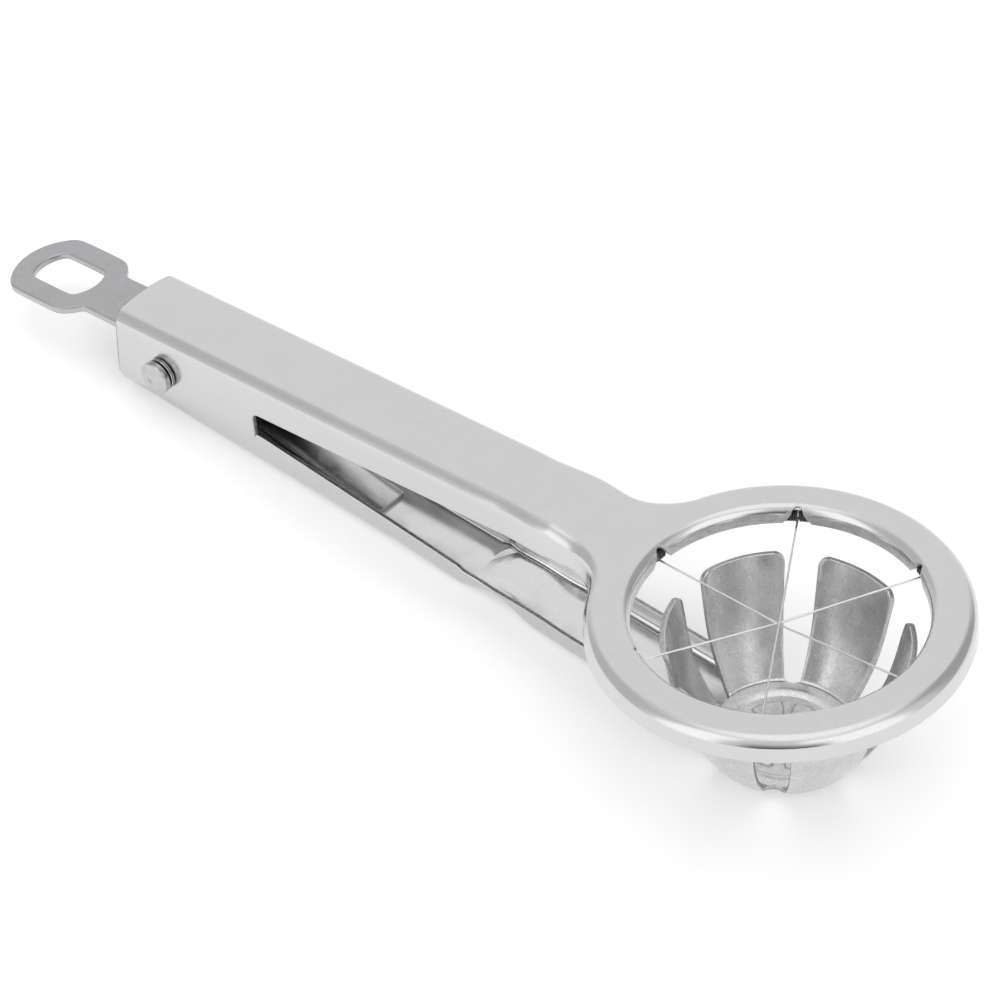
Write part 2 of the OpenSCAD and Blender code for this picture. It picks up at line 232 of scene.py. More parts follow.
def bore(ob):
    """cuts the pin's hole along Y through ob"""
    bm = bmesh.new()
    bmesh.ops.create_cone(bm, cap_ends=True, segments=64, radius1=BORE_R * MM, radius2=BORE_R * MM,
                          depth=2 * BORE_REACH * MM)
    bmesh.ops.rotate(bm, verts=bm.verts, cent=(0, 0, 0), matrix=Matrix.Rotation(math.pi / 2, 3, "X"))
    bmesh.ops.translate(bm, verts=bm.verts, vec=(PIN[0] * MM, PIN[1] * MM, PIN[2] * MM))
    me = bpy.data.meshes.new("cutter")
    bm.to_mesh(me)
    bm.free()
    cutter = new_object("cutter", me)
    m = ob.modifiers.new("bore", "BOOLEAN")
    m.operation = "DIFFERENCE"
    m.solver = "EXACT"
    m.object = cutter
    settle(ob)
    bpy.data.objects.remove(cutter)
    bpy.data.meshes.remove(me)


# ------------------------------------------------------------------ materials
class Nodes:
    """a node tree; add takes the node's settings and its sockets' values by name, with _ for a space"""

    def __init__(self, mat):
        mat.use_nodes = True
        self.tree = mat.node_tree
        self.tree.nodes.clear()

    def add(self, kind, **values):
        n = self.tree.nodes.new(kind)
        for k, v in values.items():
            if hasattr(n, k) and k not in n.inputs:
                setattr(n, k, v)
            else:
                n.inputs[k.replace("_", " ")].default_value = v
        return n

    def link(self, a, out, b, into):
        self.tree.links.new(a.outputs[out], b.inputs[into])


NOISE_LOW, NOISE_HIGH = 0.3, 0.7
DOTS_PER_M = 3200.0


def steel(name, tint, rough, streak=(0.02, 3.0, 3.0), streak_mix=0.05, cloud=0.04, cloud_size=9.0,
          speck=0.03, bump=0.02, rough_var=0.06):
    """metal with drawn streaks, soft clouds and a fine speckle; sizes in mm"""
    mat = bpy.data.materials.new(name)
    n = Nodes(mat)
    out = n.add("ShaderNodeOutputMaterial")
    bsdf = n.add("ShaderNodeBsdfPrincipled", Metallic=1.0)
    co = n.add("ShaderNodeTexCoord")
    lines_map = n.add("ShaderNodeMapping", Scale=[s * 1000 for s in streak])
    lines = n.add("ShaderNodeTexNoise", Scale=1.0, Detail=5.0, Roughness=0.65)
    clouds = n.add("ShaderNodeTexNoise", Scale=1000.0 / cloud_size, Detail=3.0)
    dots = n.add("ShaderNodeTexNoise", Scale=DOTS_PER_M, Detail=2.0)
    n.link(co, "Object", lines_map, "Vector")
    n.link(lines_map, "Vector", lines, "Vector")
    n.link(co, "Object", clouds, "Vector")
    n.link(co, "Object", dots, "Vector")

    def spread_of(source, low, high):
        r = n.add("ShaderNodeMapRange", From_Min=NOISE_LOW, From_Max=NOISE_HIGH, To_Min=low, To_Max=high)
        n.link(source, "Fac", r, "Value")
        return r

    def times(a, a_out, b, b_out):
        m = n.add("ShaderNodeMath", operation="MULTIPLY")
        n.link(a, a_out, m, 0)
        n.link(b, b_out, m, 1)
        return m

    value = times(spread_of(lines, 1 - streak_mix, 1 + streak_mix), "Result",
                  spread_of(clouds, 1 - cloud, 1 + cloud), "Result")
    value = times(value, "Value", spread_of(dots, 1 - speck, 1 + speck), "Result")
    grey = n.add("ShaderNodeCombineColor")
    for k in ("Red", "Green", "Blue"):
        n.link(value, "Value", grey, k)
    tone = n.add("ShaderNodeMix", data_type="RGBA", blend_type="MULTIPLY", Factor=1.0)
    tone.inputs["A"].default_value = (*tint, 1)
    n.link(grey, "Color", tone, "B")
    n.link(tone, "Result", bsdf, "Base Color")
    n.link(spread_of(clouds, max(0.03, rough - rough_var), rough + rough_var), "Result", bsdf, "Roughness")
    height = n.add("ShaderNodeMath", operation="ADD")
    n.link(lines, "Fac", height, 0)
    n.link(dots, "Fac", height, 1)
    b = n.add("ShaderNodeBump", Strength=1.0, Distance=bump * MM)
    n.link(height, "Value", b, "Height")
    n.link(b, "Normal", bsdf, "Normal")
    n.link(bsdf, "BSDF", out, "Surface")
    return mat


satin = steel("satin_steel", (0.62, 0.62, 0.62), 0.18, streak_mix=0.015, cloud=0.012, speck=0.02, bump=0.002,
              rough_var=0.02)
lip_steel = steel("lip_steel", (0.60, 0.60, 0.60), 0.32, streak=(0.5, 0.5, 1.6), streak_mix=0.14, cloud=0.10,
                  cloud_size=1.6, speck=0.08, bump=0.012)
# rough dark finish of sheared sheet edges and the dull ground of the pin head's struck mark; on the cup pads' skirts
# and sides it is painted shade
edge = steel("sheared_edge_and_pad_shade", (0.34, 0.34, 0.34), 0.45, streak=(2.4, 2.4, 0.8), streak_mix=0.45, cloud=0.3,
             cloud_size=0.7, speck=0.25, bump=0.05)
cup_edge = steel("cup_edge", (0.46, 0.46, 0.46), 0.42, streak=(2.4, 2.4, 2.4), streak_mix=0.22, cloud=0.12,
                 cloud_size=0.6, speck=0.2, bump=0.04)
drawn = steel("drawn_steel", (0.65, 0.65, 0.655), 0.25, streak=(1.6, 1.6, 0.10), streak_mix=0.07, cloud=0.055,
              cloud_size=5.0, speck=0.11, bump=0.010, rough_var=0.06)
tumbled = steel("tumbled_steel", (0.42, 0.42, 0.43), 0.36, streak=(0.5, 0.5, 0.5), streak_mix=0.04, cloud=0.04,
                cloud_size=5.0, speck=0.05, bump=0.012)
burnished = steel("burnished_steel", (0.49, 0.49, 0.50), 0.30, streak=(0.5, 0.5, 2.0), streak_mix=0.05, cloud=0.05,
                  cloud_size=2.0, speck=0.05, bump=0.006)
turned = steel("turned_steel", (0.51, 0.51, 0.51), 0.20, streak=(0.5, 0.5, 0.5), streak_mix=0.04, cloud=0.04,
               cloud_size=2.0, speck=0.03, bump=0.003)
worn = steel("worn_steel", (0.70, 0.70, 0.70), 0.20, streak=(0.05, 1.0, 1.0), streak_mix=0.02, cloud=0.02,
             cloud_size=4.0, speck=0.03, bump=0.002)
# darker than the outside as painted shade: the underside of the upper arm's sheet
inner = steel("inner_painted_shade", (0.38, 0.38, 0.38), 0.32, streak=(0.05, 1.0, 1.0), streak_mix=0.08, cloud=0.08,
              cloud_size=4.0, speck=0.06, bump=0.004)
wall_steel = steel("wall_steel", (0.70, 0.70, 0.70), 0.34, streak=(0.05, 1.0, 1.0), streak_mix=0.06, cloud=0.05,
                   cloud_size=4.0, speck=0.06, bump=0.004)
pad_steel = steel("pad_steel", (0.66, 0.66, 0.66), 0.40, streak=(1.0, 1.0, 1.0), streak_mix=0.12, cloud=0.10,
                  cloud_size=1.5, speck=0.10, bump=0.02)
# near black: painted shade for the shaft and the faces round it in the gap between the pin's head and its washer
gap_shade = steel("painted_gap_shade", (0.035, 0.035, 0.035), 0.40, streak=(0.5, 0.5, 0.5), streak_mix=0.1, cloud=0.1,
              cloud_size=1.0, speck=0.1, bump=0.01)
rolled = steel("rolled_steel", (0.60, 0.60, 0.61), 0.24, streak=(0.05, 2.0, 2.0), streak_mix=0.05, cloud=0.05,
               cloud_size=4.0, speck=0.04, bump=0.003)
# near black: painted shade on the hoop and the wound wire ends, seen only through the ring's notches
wire_painted_shade = steel("wire_painted_shade", (0.10, 0.10, 0.10), 0.35, streak=(0.5, 0.5, 0.5), streak_mix=0.15, cloud=0.1,
                  cloud_size=1.0, speck=0.1, bump=0.006)
wire = steel("wire_steel", (0.66, 0.66, 0.66), 0.22, streak=(0.3, 0.3, 0.3), streak_mix=0.05, cloud=0.05,
             cloud_size=2.0, speck=0.04, bump=0.004)

# ------------------------------------------------------------------ upper arm
# its handle is laid from rib to rib as far as GATE, and its ring from there on round the rim
GATE = 92.0
WALL_N, KNEE_N, ROLL_N, PLATE_N, MID_N, LIP_N, NECK_N, FILLET_N, RIM_N = 6, 3, 9, 24, 40, 12, 22, 26, 62
NECK_START, NECK_FULL = 86, 97.5
# the wall's lower edge steps up from DEEP to SHALLOW, through fillets STEP_R that meet the slant at STEP_A and STEP_B;
# STEP_C is never under STEP_B + STEP_R, or else the mesh folds
STEP_A, STEP_B, STEP_C, STEP_R, TAIL_R = 24.8, 24.9, 26.3, 1.4, 2.0
DEEP, SHALLOW = TOP - 14.55, TOP - 8.1
LOW_EDGE = [(STEP_C, SHALLOW), (NECK_START, 2.4), (91.9, 3.0), (99.2, 3.4), (106, 3.8)]
REAR_DROP, REAR_DROP_END = 0.95, 5
# the crease across the plate: where it is, its bow, its softness and the length of the fall past it
CREASE_X, CREASE_BOW, CREASE_SOFT, CREASE_FALL = 97.75, 0.022, 0.12, 9.0
# near the ring the wall leans in up to a small knee below the big bend
LEAN_IN, LEAN_BACK, LEAN_HEIGHT, KNEE_R, KNEE_TURN = 0.75, 0.5, 4.2, 0.35, 0.05
LEAN_IN_X, LEAN_BACK_X, KNEE_X, KNEE_DEGREES = (82, 100), (103, 118), (92, 108), (8, 22)
# the rear end's bulge, and how its walls lean back below a height
BULGE_R, REAR_LEAN, REAR_LEAN_TOP, REAR_END = 34, 0.125, 7.45, -3
# the ring's inner lip and its bell notches: lower edge, round top (half width, foot, rise), skirt (half width, curve)
LIP_LOW, BELL_W, BELL_FOOT, BELL_RISE, SKIRT_W, SKIRT_CURVE = -3.6, 1.0, -1.45, 1.05, 2.5, 1.15
NOTCH_STEPS = [0, 0.22, 0.44, 0.62, 0.75, 0.84, 0.89, 0.97, 1.1, 1.3, 1.6, 2.0, 2.6]
NOTCH_CLEAR = 2.9
# the step of LIP_N from which the lip has its own finish
LIP_TURN = 7


def plate_z(x, y):
    """top of the sheet: level, then down from the stamped crease to the ring"""
    u = x - (CREASE_X + CREASE_BOW * y * y)
    u = (u + math.sqrt(u * u + CREASE_SOFT)) / 2
    t = min(1.0, u / CREASE_FALL)
    return TOP - (TOP - RING_Z) * t * (3 - t * t) / 2


def wall_low(x):
    """lower edge of the wall, from the rear end to the neck"""
    low = DEEP - REAR_DROP * (1 - ease(x, -TAIL, REAR_DROP_END))
    if x < TAIL_R - TAIL:
        return low + TAIL_R - math.sqrt(max(0, TAIL_R ** 2 - (TAIL_R - TAIL - x) ** 2))
    if x < STEP_A - STEP_R:
        return low
    if x <= STEP_A:
        return DEEP + STEP_R - math.sqrt(max(0, STEP_R ** 2 - (x - STEP_A + STEP_R) ** 2))
    if x <= STEP_B:
        return lerp(DEEP + STEP_R, SHALLOW - STEP_R, (x - STEP_A) / (STEP_B - STEP_A))
    if x <= STEP_C:
        return SHALLOW - STEP_R + math.sqrt(max(0, STEP_R ** 2 - (STEP_C - x) ** 2))
    return table(LOW_EDGE, x)


def bend_shape(x):
    """how far the wall's head leans in, its lean, the lean where the big bend starts, and the bend's depth and fall"""
    inward = LEAN_IN * ease(x, *LEAN_IN_X) - LEAN_BACK * ease(x, *LEAN_BACK_X)
    start = math.atan(inward / LEAN_HEIGHT)
    lean = max(math.radians(lerp(*KNEE_DEGREES, ease(x, *KNEE_X))), start + KNEE_TURN)
    depth = inward + KNEE_R * (math.cos(start) - math.cos(lean)) + BEND * math.cos(lean)
    fall = KNEE_R * (math.sin(lean) - math.sin(start)) + BEND * (1 - math.sin(lean))
    return inward, start, lean, depth, fall


def half_at(x):
    """half width of the handle, which widens into the neck"""
    return HALF + (NECK - HALF) * ease(x, NECK_START, NECK_FULL)


def outer_side(bx, by, nx, ny):
    """from the lower edge up the wall and over the bend: points at one place of the rim"""
    inward, start, lean, depth, fall = bend_shape(bx)
    shoulder = plate_z(bx + nx * depth, by + ny * depth) - fall
    places = [(inward * i / WALL_N, lerp(wall_low(bx), shoulder, i / WALL_N)) for i in range(WALL_N + 1)]
    for i in range(1, KNEE_N + 1):
        a = lerp(start, lean, i / KNEE_N)
        places.append((inward + KNEE_R * (math.cos(start) - math.cos(a)),
                       shoulder + KNEE_R * (math.sin(a) - math.sin(start))))
    for i in range(1, ROLL_N + 1):
        a = lerp(lean, math.pi / 2, i / ROLL_N)
        places.append((depth - BEND * math.cos(a), shoulder + fall - BEND + BEND * math.sin(a)))
    return [(bx + nx * d, by + ny * d, z) for d, z in places]


def notch_low(phi):
    """depth of the ring's inner lip at angle phi, with a bell notch every 60 degrees"""
    u = abs((phi + math.pi / 6) % (math.pi / 3) - math.pi / 6) * HOLE_R
    if u < BELL_W:
        return BELL_FOOT + BELL_RISE * math.sqrt(BELL_W * BELL_W - u * u)
    if u < SKIRT_W:
        return LIP_LOW + (BELL_FOOT - LIP_LOW) * ((SKIRT_W - u) / (SKIRT_W - BELL_W)) ** SKIRT_CURVE
    return LIP_LOW


def lip(phi):
    """from the flat over the inner bend and down to the lip's edge"""
    low = notch_low(phi)
    b = RING_BEND
    if low < -b:
        length = b * math.pi / 2 - b - low
    else:
        length = b * math.acos((low + b) / b)
    pts = []
    for s in spread(0, length, LIP_N):
        a = min(s / b, math.pi / 2)
        r = HOLE_R + b - b * math.sin(a)
        z = RING_Z - b + b * math.cos(a) - max(0, s - b * math.pi / 2)
        pts.append((RING_X + r * math.cos(phi), r * math.sin(phi), z))
    return pts


def rear_shift(x, y, z):
    """the rear end bulges backwards a little, and its walls lean back as they go down"""
    bulge = BULGE_R - math.sqrt(BULGE_R * BULGE_R - y * y)
    return (bulge - REAR_LEAN * max(0, REAR_LEAN_TOP - z)) * (1 - ease(x, -TAIL, REAR_END))


def make_upper():
    skin = Skin()
    quarter = [math.pi / 2 * i / 8 for i in range(9)]
    xs = [TAIL_R - TAIL - TAIL_R * math.cos(q) for q in quarter] + spread(TAIL_R - TAIL, STEP_A - STEP_R, 16)[1:]
    xs += [STEP_A - STEP_R + STEP_R * math.sin(q) for q in quarter[1:]] + spread(STEP_A, STEP_B, 5)[1:]
    xs += [STEP_C - STEP_R * math.cos(q) for q in quarter[1:]]
    xs += stations(STEP_C, [(NECK_START, 24), (GATE, 6)])[1:]
    # places across the plate, closer together towards its sides
    flats = [math.sin(math.pi / 2 * t) * 0.35 + t * 0.65 for t in spread(-1, 1, PLATE_N)]

    def rib(x):
        side = outer_side(x, -half_at(x), 0, 1)
        inner = half_at(x) - bend_shape(x)[3]
        row = side + [(x, inner * f, plate_z(x, inner * f)) for f in flats[1:-1]]
        row += [(a, -b, c) for a, b, c in reversed(side)]
        return [(a + rear_shift(a, b, c), b, c) for a, b, c in row]
    skin.grid([rib(x) for x in xs])
    # the rim from the gate round the ring's front, near side only
    rim = [(x, -half_at(x), 0.0, 1.0) for x in spread(GATE, FILLET_X, NECK_N)[:-1]]
    for a in spread(0, FILLET_A, FILLET_N):
        rim.append((FILLET_X + FILLET * math.sin(a), -(NECK + FILLET * (1 - math.cos(a))), math.sin(a), math.cos(a)))
    start = math.pi * 1.5 - FILLET_A
    angles = {round(start + (2 * math.pi - start) * i / RIM_N, 5) for i in range(1, RIM_N + 1)}
    for k in (4, 5, 6):
        centre = k * math.pi / 3
        angles = {a for a in angles if abs(a - centre) * HOLE_R > NOTCH_CLEAR}
        for u in NOTCH_STEPS:
            angles |= {round(centre + s * u / HOLE_R, 5) for s in (-1, 1)}
    for a in sorted(a for a in angles if start < a <= 2 * math.pi + 1e-4):
        rim.append((RING_X + RING_R * math.cos(a), RING_R * math.sin(a), -math.cos(a), -math.sin(a)))
    near = [outer_side(*r) for r in rim]
    far = [[(a, -b, c) for a, b, c in row] for row in reversed(near[:-1])]
    skin.grid(near + far)
    # from the rim and the gate across the flat to the lip
    starts = [row[-1] for row in near + far]
    gate_y = half_at(GATE) - bend_shape(GATE)[3]
    starts += [(GATE, gate_y * f, TOP) for f in reversed(flats[1:-1])]
    lines, lips = [], []
    for x, y, _ in starts:
        phi = math.atan2(y, x - RING_X) % (2 * math.pi)
        edge_pts = lip(phi)
        ex, ey, _ = edge_pts[0]
        line = []
        for i in range(MID_N + 1):
            t = i / MID_N
            px, py = lerp(x, ex, t), lerp(y, ey, t)
            line.append((px, py, plate_z(px, py)))
        line[-1] = edge_pts[0]
        lines.append(line)
        lips.append(edge_pts)
    skin.grid(lines, closed=True)
    skin.grid([row[:LIP_TURN + 1] for row in lips], closed=True)
    skin.grid([row[LIP_TURN:] for row in lips], closed=True, slot=2)
    ob = new_object("upper_arm_sheet", skin.mesh("upper_arm_sheet", on_upper, (on_upper((50, 0, TOP)), (0, 0, 1))))
    # the sheet's back takes the inner finish, darkened as painted shade
    coat(ob, satin, edge, lip_steel, edge, inner)
    thicken(ob, SHEET, back=4)
    settle(ob)
    bore(ob)
    soften(ob)
    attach(ob, "upper")
    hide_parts("upper_arm")


# ------------------------------------------------------------------ lower arm
# half width, and the wall's top between joggle and tongue and along the tongue
L_HALF, LOW_TOP, LEAST_TOP = 7.4, 4.8, 0.35
# bend between floor and wall along the arm
NEAR_BEND = [(50, 3.2), (60, 3.2), (73, 2.2), (95, 2.2), (104, 2.4)]
FAR_BEND = [(28, 2.6), (42, 1.7), (95, 1.7), (104, 2.2), (122, 2.4)]
# the pinched joggle: x, how far its side stands out, wall top, floor lift
JOGGLE = [
    (74.8, 0, 5.05, 0), (76.5, 0, 4.5, 0.1), (78.5, -0.3, 4.1, 0.6), (80.5, -0.5, 3.8, 0.9), (83, -0.5, 3.6, 0.95),
    (86, -0.42, 3.8, 0.95), (88.5, -0.25, 4.1, 0.6), (91, 0.05, 4.5, 0.15), (93, 0.25, 4.7, 0), (96, 0.4, 4.8, 0),
    (99.5, 0.62, 4.8, 0), (104, 0.77, 4.8, 0),
]
PINCH, PINCH_END = 74.8, 93
# the walls curl down to the tongue, which tilts up by TILT from CRANK on
WALL_END, CURL, CURL_DROP, CRANK, TONGUE_END, TONGUE_HALF = 126.3, 5.0, 0.94, 134.0, 157.5, 5.6
TONGUE_ROOT_HALF, TONGUE_ROOT_X, FLATTEN_X = 6.9, (131, 135), (130, 133.5)
TONGUE_ROUND, TONGUE_TIP = TONGUE_END - TONGUE_HALF, 0.985
TILT = math.radians(2)
# the wall's top edge: up to the boss, round it from BOSS_REAR to BOSS_FRONT, and down from it
BOSS_R, BOSS_REAR, BOSS_FRONT, BOSS_FOOT = 6, -5.196, 3.0, 24.3
REAR_TOPS = [(-13, 7.6), (BOSS_REAR, 13.6)]
FRONT_TOPS = [(BOSS_FRONT, 15.796), (BOSS_FOOT, 8), (35.6, 7.36), (55.3, 6.27), (PINCH, 5.05)]
# the facet: how far from the middle and from where along the arm, its slopes, its skew, and where it runs out
FACET_Y, FACET_X, FACET_ALONG, FACET_ACROSS, FACET_SKEW, FACET_SKEW_TO = 1.2, 76.1, 0.36, 0.17, 0.24, 4.5
FACET_LEAST, FACET_FADE = 0.02, (80, 92)
SWELL, SWELL_Y, SWELL_RISE, SWELL_FALL = 0.5, (1.2, 4.4), (79.5, 83.5), (84, 91)
# where the rows of the sheet are: ends and numbers of steps
LOWER_FROM = -12
LOWER_PARTS = [(BOSS_REAR, 5), (3, 12), (BOSS_FOOT, 8), (74, 16), (80, 24), (PINCH_END, 30), (WALL_END, 18),
               (127.8, 8), (131.3, 9), (TONGUE_ROUND, 16)]
FLOOR_N, UP_N, TIP_N = 40, 14, 10
# the walls' insides are dull as far as here
DULL_END = 75.5


def lower_wall(x):
    """height of the wall's top edge"""
    if x < BOSS_REAR:
        return table(REAR_TOPS, x)
    if x < BOSS_FRONT:
        return PIN[2] + math.sqrt(max(0, BOSS_R * BOSS_R - x * x))
    if x < PINCH:
        return table(FRONT_TOPS, x)
    if x < WALL_END:
        return table([(j[0], j[2]) for j in JOGGLE], x)
    if x < WALL_END + CURL:
        t = (x - WALL_END) / CURL
        return max(LEAST_TOP, LOW_TOP - CURL * math.sqrt(max(0, 1 - (1 - t) ** 2)) * CURL_DROP)
    return LEAST_TOP


def lower_half(x):
    """half width of the arm, pinched at the joggle"""
    return L_HALF + table([(j[0], j[1]) for j in JOGGLE], x)


def tongue_half(x):
    """half width of the tongue, with its rounded end"""
    d = max(0.0, x - TONGUE_END + TONGUE_HALF)
    width = lerp(TONGUE_ROOT_HALF, TONGUE_HALF, ease(x, *TONGUE_ROOT_X))
    return width * math.sqrt(max(0.02, 1 - (d / TONGUE_HALF) ** 2))


def floor_z(x, y):
    """underside of the floor"""
    z = (x - CRANK) * math.tan(TILT) if x > CRANK else 0.0
    if not PINCH < x < PINCH_END:
        return z
    lift = table([(j[0], j[3]) for j in JOGGLE], x)
    # towards the far wall the floor steps up over a flat three-cornered facet
    past = y - FACET_Y
    if past > 0:
        along = FACET_ALONG * (x - FACET_X + FACET_SKEW * min(past, FACET_SKEW_TO))
        lift = max(lift, min(along, FACET_LEAST + FACET_ACROSS * past) * (1 - ease(x, *FACET_FADE)))
    # and it swells softly along the near wall
    lift += SWELL * ease(-y, *SWELL_Y) * ease(x, *SWELL_RISE) * (1 - ease(x, *SWELL_FALL))
    return z + lift


def lower_side(x, way):
    """floor edge to wall top on one side: way is -1 near, 1 far"""
    half, wall = lower_half(x), lower_wall(x)
    bend = table(FAR_BEND if way > 0 else NEAR_BEND, x)
    lift = floor_z(x, way * (half - bend))
    rise = max(0.3, wall - lift)
    length = bend * math.pi / 2 + rise - bend if rise > bend else bend * math.acos(1 - rise / bend)
    flat = half - bend * math.sin(min(length / bend, math.pi / 2))
    side = []
    for s in spread(0, length, UP_N):
        a = min(s / bend, math.pi / 2)
        up = bend * (1 - math.cos(a)) + max(0, s - bend * math.pi / 2)
        side.append((x, way * (flat + bend * math.sin(a)), lift + up))
    return side


def lower_rib(x):
    """one row across the sheet, which flattens into the tongue"""
    near, far = lower_side(x, -1), lower_side(x, 1)
    row = list(reversed(near))
    row += [(x, y, floor_z(x, y)) for y in spread(near[0][1], far[0][1], FLOOR_N)[1:-1]]
    row += far
    w = ease(x, *FLATTEN_X)
    if w > 0:
        out, last = tongue_half(x), len(row) - 1
        row = [(x, lerp(p[1], out * (2 * k / last - 1), w), lerp(p[2], floor_z(x, 0), w)) for k, p in enumerate(row)]
    return row


def make_lower():
    skin = Skin()
    xs = stations(LOWER_FROM, LOWER_PARTS)
    xs += [TONGUE_ROUND + TONGUE_HALF * TONGUE_TIP * math.sin(math.pi / 2 * i / TIP_N) for i in range(1, TIP_N + 1)]
    skin.grid([lower_rib(x) for x in xs])
    ob = new_object("lower_arm_sheet", skin.mesh("lower_arm_sheet", on_lower, (on_lower((50, 0, 0)), (0, 0, -1))))
    coat(ob, satin, edge, wall_steel, worn)
    thicken(ob, SHEET, back=3)
    settle(ob)
    bore(ob)
    for p in ob.data.polygons:
        inward = p.normal.y * p.center.y < 0 and abs(p.normal.y) > 0.7
        if p.material_index == 3 and inward and p.center.x < (PIN[0] + DULL_END) * MM:
            p.material_index = 2
    soften(ob)
    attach(ob, "lower")
    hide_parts("lower_arm")


# ------------------------------------------------------------------ cup
CUP_X, CUP_T = 145.5, 1.05
# the cup's outside, radius and height: base, and curve of the petals
CUP_BASE = [
    (0.01, 0), (3, 0), (6, 0), (8.5, 0), (9.6, 0),
    (10.0, 0.03), (10.4, 0.2), (10.9, 0.42), (11.5, 0.45), (12.8, 0.45),
]
CUP_LINE = [
    (13.1, 0.45), (14, 0.85), (14.7, 1.7), (15.6, 3.1), (16.7, 4.9), (17.6, 6.6), (18.5, 8.6),
    (19.3, 10.8), (20, 13.4), (20.7, 16.7), (21.3, 20.2), (21.8, 23), (22.2, 25.1),
]
# top and rounded corners of the petals, and the height from which the rows are finer
CUP_TOP, CORNER_R, FINE_FROM = 25.1, 2.0, 22.6
# the slots' round lower ends
SLOT_LOW, SLOT_R = 12.8, 1.4
# half widths of the slots between petals by radius; the slot between petals 4 and 5 is wider
SLOT_HALF = [(13, 1.3), (14.2, 1.55), (17, 2.25), (19.4, 2.7), (22.5, 3.2)]
FRONT_SLOT_HALF = [(13, 1.65), (14.2, 1.95), (17, 2.75), (19.4, 3.15), (22.5, 3.35)]
# petal 4 leans out by LEAN_OUT at its top
LEAN_OUT, LEAN_OUT_Z = 0.9, (10, 25)
# the raised pads: tip, inner and outer radius, half angle and gap, height, and the width of the skirt round them and
# its height; skirt and pad sides are painted dark as the shade along the pads' outlines
PAD_TIP, PAD_IN, PAD_OUT, PAD_SPAN, PAD_GAP, PAD_H, SKIRT, SKIRT_H = 1.2, 4.0, 8.2, 0.82, 0.6, 0.28, 0.38, 0.04
PAD_SUNK = -0.2


def on_cup(p):
    """a point given from the middle of the cup's bottom, in metres"""
    x, y, z = p
    c, s = math.cos(TILT), math.sin(TILT)
    return on_lower((CUP_X + x * c - z * s, y, SHEET + (CUP_X - CRANK) * math.tan(TILT) + x * s + z * c))


def slot_half(r, z, rows):
    """half width of a slot between petals: round bottom, flaring sides, rounded petal corners"""
    if r <= SLOT_LOW:
        return 0.0
    w = table(rows, r)
    if r < SLOT_LOW + SLOT_R:
        w *= math.sqrt(max(0.0, 1 - ((SLOT_LOW + SLOT_R - r) / SLOT_R) ** 2))
    over = z - (CUP_TOP - CORNER_R)
    if over > 0:
        w += CORNER_R - math.sqrt(max(0, CORNER_R * CORNER_R - over * over))
    return w


def pad_outline(mid):
    """a rounded triangle round the direction mid"""
    ring = [(PAD_TIP * math.cos(mid), PAD_TIP * math.sin(mid))]
    for r, us in ((PAD_IN, (-1,)), (PAD_OUT, spread(-PAD_SPAN, PAD_SPAN, 6)), (PAD_IN, (1,))):
        for u in us:
            a = mid + u * (math.pi / 6 - math.asin(PAD_GAP / r))
            ring.append((r * math.cos(a), r * math.sin(a)))
    for _ in range(3):
        ring = [(lerp(p[0], q[0], t), lerp(p[1], q[1], t))
                for p, q in zip(ring, ring[1:] + ring[:1]) for t in (0.25, 0.75)]
    return ring


def widened(ring, by):
    """the outline moved away from its middle"""
    mx, my = sum(p[0] for p in ring) / len(ring), sum(p[1] for p in ring) / len(ring)
    return [(x + by * (x - mx) / math.hypot(x - mx, y - my), y + by * (y - my) / math.hypot(x - mx, y - my))
            for x, y in ring]


def make_cup():
    skin = Skin()
    line = smooth_line(CUP_LINE, 6)
    rs = [SLOT_LOW + SLOT_R * (1 - math.cos(math.pi / 2 * i / 12)) for i in range(1, 13)]
    dense = [(r, table(line, r)) for r in rs]
    upright = [p for p in line if p[0] > rs[-1] + 0.05]
    for (r0, z0), (r1, z1) in zip([dense[-1]] + upright, upright):
        steps = 4 if z1 > FINE_FROM else 1
        dense += [(lerp(r0, r1, i / steps), lerp(z0, z1, i / steps)) for i in range(1, steps + 1)]
    for k in range(6):
        mid = math.radians(60 * k + 30)
        low_slot = FRONT_SLOT_HALF if k == 5 else SLOT_HALF
        high_slot = FRONT_SLOT_HALF if k == 4 else SLOT_HALF
        rows = []
        for r, z in CUP_BASE + dense:
            low = mid - math.pi / 6 + math.asin(min(1, slot_half(r, z, low_slot) / r))
            high = mid + math.pi / 6 - math.asin(min(1, slot_half(r, z, high_slot) / r))
            if k == 4:
                r += LEAN_OUT * ease(z, *LEAN_OUT_Z)
            rows.append([(r * math.cos(a), r * math.sin(a), z) for a in spread(low, high, 16)])
        # the flat middle of the base has the pads' finish
        skin.grid(rows[:5], slot=2)
        skin.grid(rows[4:])
    ob = new_object("petal_cup_sheet", skin.mesh("petal_cup_sheet", on_cup, (on_cup((0, 0, 0)), (0, 0, -1))))
    coat(ob, drawn, cup_edge, pad_steel)
    thicken(ob, CUP_T)
    settle(ob)
    soften(ob, 0.16)
    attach(ob, "lower")
    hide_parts("petal_cup")


